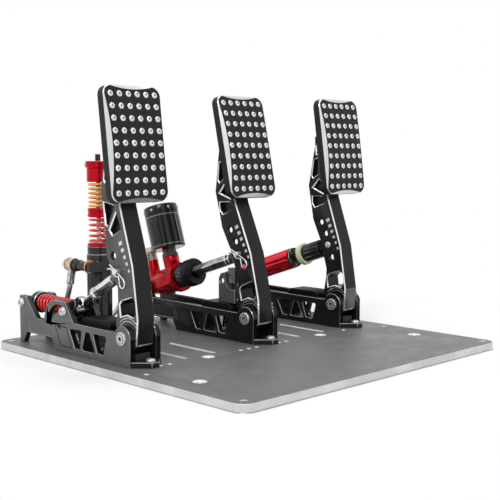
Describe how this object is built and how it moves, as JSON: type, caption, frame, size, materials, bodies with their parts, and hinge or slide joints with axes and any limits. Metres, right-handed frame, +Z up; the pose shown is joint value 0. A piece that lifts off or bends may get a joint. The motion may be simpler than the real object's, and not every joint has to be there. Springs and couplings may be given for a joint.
{
  "type": "sim racing pedal set",
  "caption": "Clutch, brake and throttle pedals on a flat base plate, each with a studded pad on a hinged arm; sprung rocker, hydraulic brake with reservoir and column, and throttle damper.",
  "frame": {"origin": "centre of the underside of the base plate", "axes": "+X to the right seen by the driver, +Y away from the driver, +Z up"},
  "size_m": [0.4, 0.4, 0.2845],
  "materials": {
    "plate_aluminium": "matte anodised, bright edges",
    "black_anodised": "satin anodised",
    "arm_black": "satin anodised with bright chamfers",
    "pad_black": "satin anodised with a bright bevel",
    "column_black": "semi gloss anodised",
    "stud_steel": "polished",
    "bolt_steel": "bright zinc",
    "link_steel": "polished",
    "dark_steel": "dark satin",
    "braided_steel": "braided",
    "brass_washers": "satin",
    "red_anodised": "gloss anodised",
    "red_coil": "gloss paint",
    "gold_coil": "gloss paint",
    "bumper_cream": "matte",
    "bracket_grey": "matte",
    "black_plastic": "matte"
  },
  "bodies": {
    "base_frame": {"base_plate": "plate_aluminium", "clutch_left_plate": "black_anodised", "clutch_right_plate": "black_anodised", "brake_left_plate": "black_anodised", "brake_right_plate": "black_anodised", "throttle_left_plate": "black_anodised", "throttle_right_plate": "black_anodised", "feet": "black_anodised", "frame_braces": "black_anodised", "pivot_axles": "bolt_steel", "pivot_screws": "bolt_steel", "cross_bolts": "bolt_steel", "foot_screws": "bolt_steel", "sensor_bracket": "bracket_grey", "sensors": "black_plastic", "spring_rear_seat": "black_anodised", "master_cylinder": "red_anodised", "pressure_disc": "black_anodised", "reservoir_neck": "column_black", "reservoir": "column_black", "reservoir_cap": "column_black", "banjo_fittings": "link_steel", "banjo_bolts": "brass_washers", "brake_hose": "braided_steel", "slave_body": "column_black", "slave_gland": "black_anodised", "slave_port": "column_black", "damper_tube": "red_anodised", "damper_cap": "black_anodised", "clutch_spring": "red_coil", "red_spring": "red_coil", "gold_spring": "gold_coil"},
    "clutch_lever": {"clutch_arm": "arm_black", "clutch_pad": "pad_black", "clutch_pad_studs": "stud_steel", "clutch_pin": "link_steel", "clutch_clip": "link_steel"},
    "clutch_link_rod": {"clutch_link": "link_steel", "link_nut": "link_steel"},
    "clutch_rocker_cheeks": {"clutch_rocker": "black_anodised", "spring_bolt": "bolt_steel"},
    "clutch_spring_seat": {"spring_front_seat": "black_anodised"},
    "brake_lever": {"brake_arm": "arm_black", "brake_pad": "pad_black", "brake_pad_studs": "stud_steel", "brake_pin": "link_steel", "brake_clip": "link_steel"},
    "brake_rod": {"brake_pushrod": "dark_steel", "brake_fork": "link_steel", "master_piston": "link_steel"},
    "slave_piston_rod": {"slave_rod": "link_steel", "slave_cap": "red_anodised"},
    "slave_collar": {"spring_collar": "red_anodised"},
    "throttle_lever": {"throttle_arm": "arm_black", "throttle_pad": "pad_black", "throttle_pad_studs": "stud_steel", "throttle_pin": "link_steel"},
    "throttle_damper_rod": {"damper_rod": "link_steel", "bumper_ring": "bumper_cream"},
    "throttle_knob": {"adjuster_knob": "black_anodised"}
  },
  "joints": [
    {"name": "clutch_press", "type": "hinge", "parent": "base_frame", "child": "clutch_lever", "pos_m": [-0.1615, -0.009, 0.036], "axis": [-1, 0, 0], "range_deg": [0, 16], "stiffness_Nm_per_rad": 12, "springref_deg": -17.19},
    {"name": "clutch_link_turn", "type": "hinge", "parent": "clutch_lever", "child": "clutch_link_rod", "pos_m": [-0.1615, 0.0075, 0.101], "axis": [1, 0, 0], "range_deg": [0, 26]},
    {"name": "clutch_rocker_turn", "type": "hinge", "parent": "base_frame", "child": "clutch_rocker_cheeks", "pos_m": [-0.1615, 0.1025, 0.0345], "axis": [-1, 0, 0], "range_deg": [0, 46], "deforming": ["clutch_spring"]},
    {"name": "clutch_spring_seat_turn", "type": "hinge", "parent": "clutch_rocker_cheeks", "child": "clutch_spring_seat", "pos_m": [-0.1615, 0.0925, 0.05147], "axis": [1, 0, 0], "range_deg": [0, 46]},
    {"name": "brake_press", "type": "hinge", "parent": "base_frame", "child": "brake_lever", "pos_m": [0.0085, -0.009, 0.036], "axis": [-1, 0, 0], "range_deg": [0, 7], "stiffness_Nm_per_rad": 40, "springref_deg": -5.73},
    {"name": "brake_rod_turn", "type": "hinge", "parent": "brake_lever", "child": "brake_rod", "pos_m": [0.0085, 0.00982, 0.10622], "axis": [1, 0, 0], "range_deg": [0, 7.2]},
    {"name": "slave_rod_slide", "type": "slide", "parent": "base_frame", "child": "slave_piston_rod", "axis": [0, 0, -1], "range_m": [0, 0.0055], "deforming": ["gold_spring"]},
    {"name": "slave_collar_slide", "type": "slide", "parent": "base_frame", "child": "slave_collar", "axis": [0, 0, -1], "range_m": [0, 0.00275], "deforming": ["red_spring"]},
    {"name": "throttle_press", "type": "hinge", "parent": "base_frame", "child": "throttle_lever", "pos_m": [0.1565, -0.009, 0.036], "axis": [-1, 0, 0], "range_deg": [0, 10], "stiffness_Nm_per_rad": 8, "springref_deg": -17.19},
    {"name": "damper_rod_turn", "type": "hinge", "parent": "throttle_lever", "child": "throttle_damper_rod", "pos_m": [0.1565, 0.0045, 0.10743], "axis": [1, 0, 0], "range_deg": [0, 10]},
    {"name": "adjuster_knob_turn", "type": "hinge", "parent": "throttle_damper_rod", "child": "throttle_knob", "pos_m": [0.1565, 0.0045, 0.10743], "axis": [0, -0.9521, 0.3058], "range_deg": [-180, 180]}
  ],
  "couplings": [
    {"joint": "clutch_link_turn", "follows": "clutch_press", "ratio": 1.593},
    {"joint": "clutch_rocker_turn", "follows": "clutch_press", "ratio": 2.845},
    {"joint": "clutch_spring_seat_turn", "follows": "clutch_press", "ratio": 2.845},
    {"joint": "brake_rod_turn", "follows": "brake_press", "ratio": 1},
    {"joint": "slave_rod_slide", "follows": "brake_press", "m_per_rad": 0.0442},
    {"joint": "slave_collar_slide", "follows": "brake_press", "m_per_rad": 0.0221},
    {"joint": "damper_rod_turn", "follows": "throttle_press", "ratio": 0.982}
  ]
}
